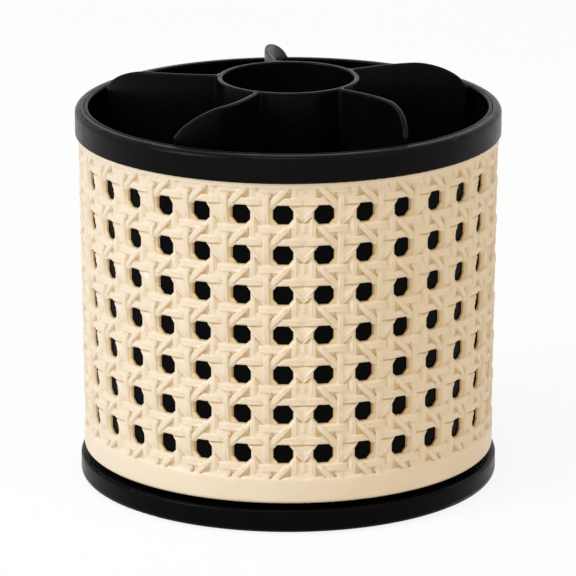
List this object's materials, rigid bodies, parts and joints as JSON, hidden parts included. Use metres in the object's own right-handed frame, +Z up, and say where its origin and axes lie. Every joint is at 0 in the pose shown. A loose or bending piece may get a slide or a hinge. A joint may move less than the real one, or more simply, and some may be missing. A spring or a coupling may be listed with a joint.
{
  "type": "rotating desk caddy",
  "caption": "Round desk caddy for hand tools: a cane-patterned drum with a lift-out swirl divider that turns on a ball-bearing base.",
  "frame": {"origin": "on the drum's axis, at the level of the surface that the rubber feet stand on", "axes": "+Z up along the turning axis; the front seam of the cane pattern faces -Y"},
  "size_m": [0.14, 0.14, 0.1347],
  "materials": {
    "cream_plastic": "moulded matte cream with a fine grain",
    "collar_plastic": "moulded satin black",
    "liner_plastic": "moulded satin black",
    "divider_plastic": "moulded satin black",
    "base_plastic": "moulded satin black",
    "cage_plastic": "natural acetal",
    "rubber": "matte",
    "ball_steel": "polished",
    "steel": "zinc plated"
  },
  "bodies": {
    "base": {"base_dish": "base_plastic", "foot_1": "rubber", "foot_2": "rubber", "foot_3": "rubber", "foot_4": "rubber"},
    "bearing_cage": {"ball_cage": "cage_plastic", "ball_1": "ball_steel", "ball_2": "ball_steel", "ball_3": "ball_steel", "ball_4": "ball_steel", "ball_5": "ball_steel", "ball_6": "ball_steel", "ball_7": "ball_steel", "ball_8": "ball_steel", "ball_9": "ball_steel", "ball_10": "ball_steel", "ball_11": "ball_steel", "ball_12": "ball_steel"},
    "drum": {"turntable_plate": "base_plastic", "spindle_screw": "steel", "spindle_washer": "steel", "plate_screws": "steel", "cane_shell": "cream_plastic", "liner_cup": "liner_plastic", "collar_ring": "collar_plastic"},
    "divider": {"swirl_divider": "divider_plastic"}
  },
  "joints": [
    {"name": "turntable_spin", "type": "hinge", "parent": "base", "child": "drum", "pos_m": [0, 0, 0.0084], "axis": [0, 0, 1], "continuous": true},
    {"name": "cage_spin", "type": "hinge", "parent": "base", "child": "bearing_cage", "pos_m": [0, 0, 0.0084], "axis": [0, 0, 1], "continuous": true},
    {"name": "divider_lift", "type": "slide", "parent": "drum", "child": "divider", "axis": [0, 0, 1], "range_m": [0, 0.13]}
  ],
  "couplings": [
    {"joint": "cage_spin", "follows": "turntable_spin", "ratio": 0.5}
  ]
}
